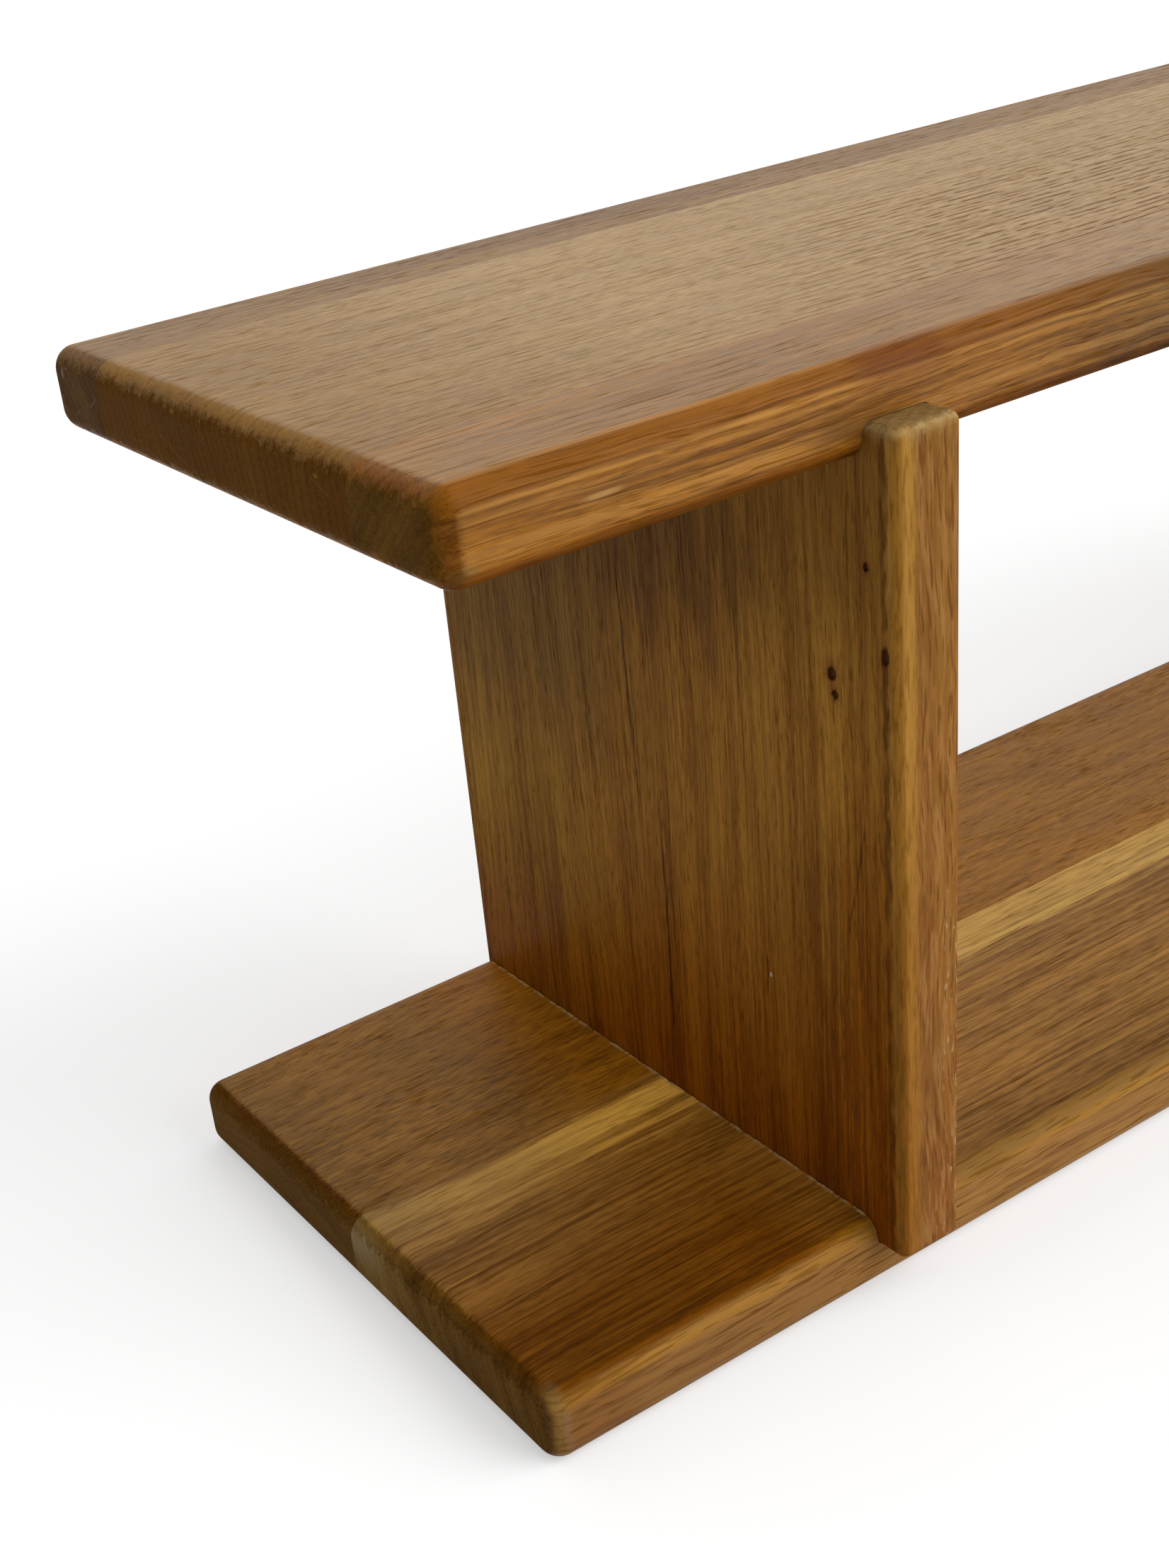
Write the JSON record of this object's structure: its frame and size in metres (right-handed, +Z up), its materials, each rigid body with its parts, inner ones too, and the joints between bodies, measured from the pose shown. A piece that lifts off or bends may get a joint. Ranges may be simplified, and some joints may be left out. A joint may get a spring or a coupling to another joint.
{
  "type": "wall bookshelf",
  "caption": "Oak wall bookshelf: long round-edged boards above and below, joined by inset uprights housed in both, with keyhole hangers in the back.",
  "frame": {"origin": "centre of the bounding box in plan, on the underside of the lower board", "axes": "+X along the boards to the viewer's right, +Y towards the wall, +Z up"},
  "size_m": [0.9, 0.2106, 0.268],
  "materials": {
    "upper_board_oak": "oiled oak, satin, pale tan with a golden-brown front edge",
    "lower_board_oak": "oiled oak, satin, brown with a pale sapwood stripe",
    "upright_oak": "oiled oak, satin, dark brown with a golden front corner",
    "dowel_beech": "unfinished beech",
    "hanger_steel": "zinc-plated steel, satin",
    "screw_steel": "zinc-plated steel"
  },
  "bodies": {
    "root": {"upper_rear_stave": "upper_board_oak", "upper_centre_stave": "upper_board_oak", "upper_front_stave": "upper_board_oak", "lower_rear_stave": "lower_board_oak", "lower_front_stave": "lower_board_oak", "left_upright_rear_stave": "upright_oak", "left_upright_front_stave": "upright_oak", "left_upper_rear_dowel": "dowel_beech", "left_upper_front_dowel": "dowel_beech", "left_lower_rear_dowel": "dowel_beech", "left_lower_front_dowel": "dowel_beech", "left_hanger_plate": "hanger_steel", "left_hanger_upper_screw": "screw_steel", "left_hanger_lower_screw": "screw_steel", "right_upright_rear_stave": "upright_oak", "right_upright_front_stave": "upright_oak", "right_upper_rear_dowel": "dowel_beech", "right_upper_front_dowel": "dowel_beech", "right_lower_rear_dowel": "dowel_beech", "right_lower_front_dowel": "dowel_beech", "right_hanger_plate": "hanger_steel", "right_hanger_upper_screw": "screw_steel", "right_hanger_lower_screw": "screw_steel"}
  },
  "joints": []
}
